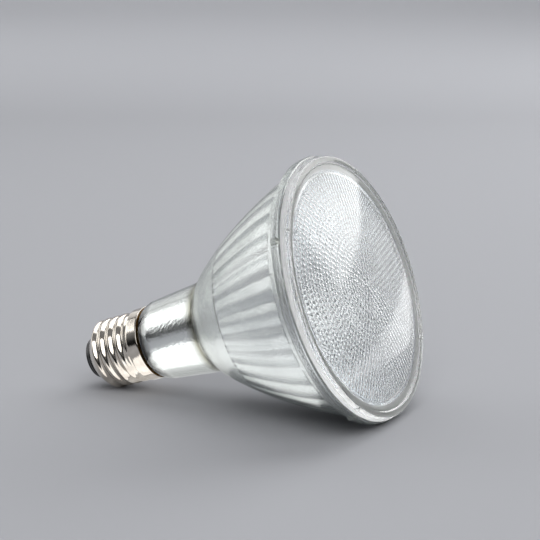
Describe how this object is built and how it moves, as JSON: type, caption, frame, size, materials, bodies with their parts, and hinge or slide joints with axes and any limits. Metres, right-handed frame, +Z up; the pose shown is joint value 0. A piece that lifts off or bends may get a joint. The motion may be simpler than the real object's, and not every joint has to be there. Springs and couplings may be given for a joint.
{
  "type": "led reflector bulb",
  "caption": "LED reflector bulb: a pressed glass cone silvered inside, with a stippled lens, a long neck and a screw cap, lying on its side as it comes to rest.",
  "frame": {"origin": "centre of the lamp's bounding box at the bottom, on the ground the lamp lies on", "axes": "+X along the ground towards the lens end, +Y sideways, +Z up; the lamp's own axis rises towards the lens by 19.56 degrees from +X in the XZ plane"},
  "size_m": [0.125, 0.097, 0.0924],
  "materials": {
    "body_glass": "clear pressed soda-lime glass, silvered on its inside",
    "lens_glass": "clear pressed glass with small round lenses inside",
    "silicone": "translucent, soft",
    "cap_nickel": "nickel-plated rolled sheet, bright",
    "black_glass": "black cast glass, glossy",
    "contact_metal": "nickel-plated pressed contact",
    "cement": "baked resin cement, dull brown",
    "sink_aluminium": "turned, satin",
    "adhesive": "cured white adhesive",
    "thermal_pad": "soft grey sheet",
    "white_board": "white solder mask on aluminium",
    "led_phosphor": "yellow phosphor",
    "screw_steel": "zinc-plated",
    "sleeve_plastic": "white moulded plastic",
    "green_board": "green solder mask",
    "ferrite": "dark grey sintered ferrite",
    "coil_tape": "yellow tape over copper wire",
    "can_black": "black sleeve on an aluminium can",
    "film_body": "dipped red film capacitor",
    "chip_black": "black moulded package",
    "resistor_body": "blue-green lacquer",
    "live_insulation": "red insulation",
    "neutral_insulation": "black insulation",
    "solder": "tin solder"
  },
  "bodies": {
    "root": {"reflector_glass": "body_glass", "lens_glass": "lens_glass", "lens_seal": "silicone", "screw_shell": "cap_nickel", "cap_insulator": "black_glass", "centre_contact": "contact_metal", "cap_cement": "cement", "heat_sink": "sink_aluminium", "sink_bond": "adhesive", "thermal_pad": "thermal_pad", "led_board": "white_board", "led_chips": "led_phosphor", "board_screws": "screw_steel", "insulating_sleeve": "sleeve_plastic", "driver_board": "green_board", "film_capacitor": "film_body", "bridge_rectifier": "chip_black", "driver_chip": "chip_black", "bulk_capacitor": "can_black", "output_capacitor": "can_black", "input_choke": "ferrite", "fusible_resistor": "resistor_body", "transformer_core": "ferrite", "transformer_coil": "coil_tape", "live_lead": "live_insulation", "neutral_lead": "neutral_insulation", "shell_solder": "solder", "led_positive_lead": "live_insulation", "led_negative_lead": "neutral_insulation", "led_solder": "solder"}
  },
  "joints": []
}
